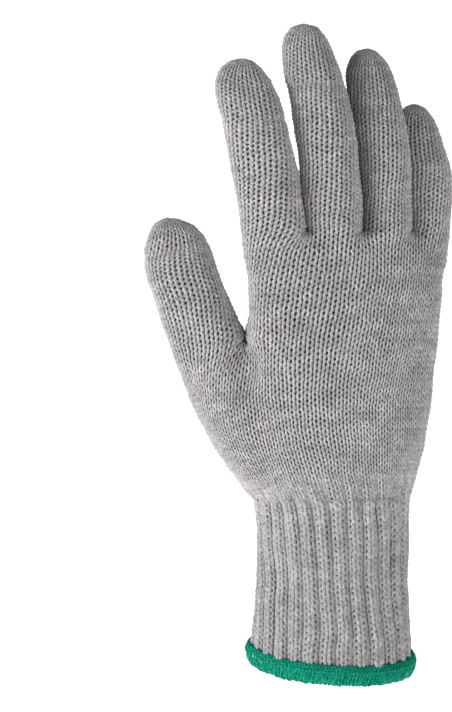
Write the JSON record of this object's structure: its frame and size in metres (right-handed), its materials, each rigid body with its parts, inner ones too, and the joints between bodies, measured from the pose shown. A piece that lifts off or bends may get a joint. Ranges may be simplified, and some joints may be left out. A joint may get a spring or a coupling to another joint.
{
  "type": "protective glove",
  "caption": "Seamless knitted grey work glove for the right hand with a rib cuff and a green overlocked hem.",
  "frame": {"origin": "centre of the opening at the hem, where the hand goes in", "axes": "+Z towards the fingertips, -Y out of the back of the hand, +X towards the little finger, thumb on -X"},
  "size_m": [0.1164, 0.0505, 0.2466],
  "materials": {
    "grey_knit": "matte melange cotton knit",
    "grey_rib": "matte melange cotton rib knit",
    "green_edging": "matte overlock thread"
  },
  "bodies": {
    "root": {"palm": "grey_knit", "index_finger": "grey_knit", "middle_finger": "grey_knit", "ring_finger": "grey_knit", "little_finger": "grey_knit", "thumb": "grey_knit", "rib_cuff": "grey_rib", "cuff_edging": "green_edging"}
  },
  "joints": []
}
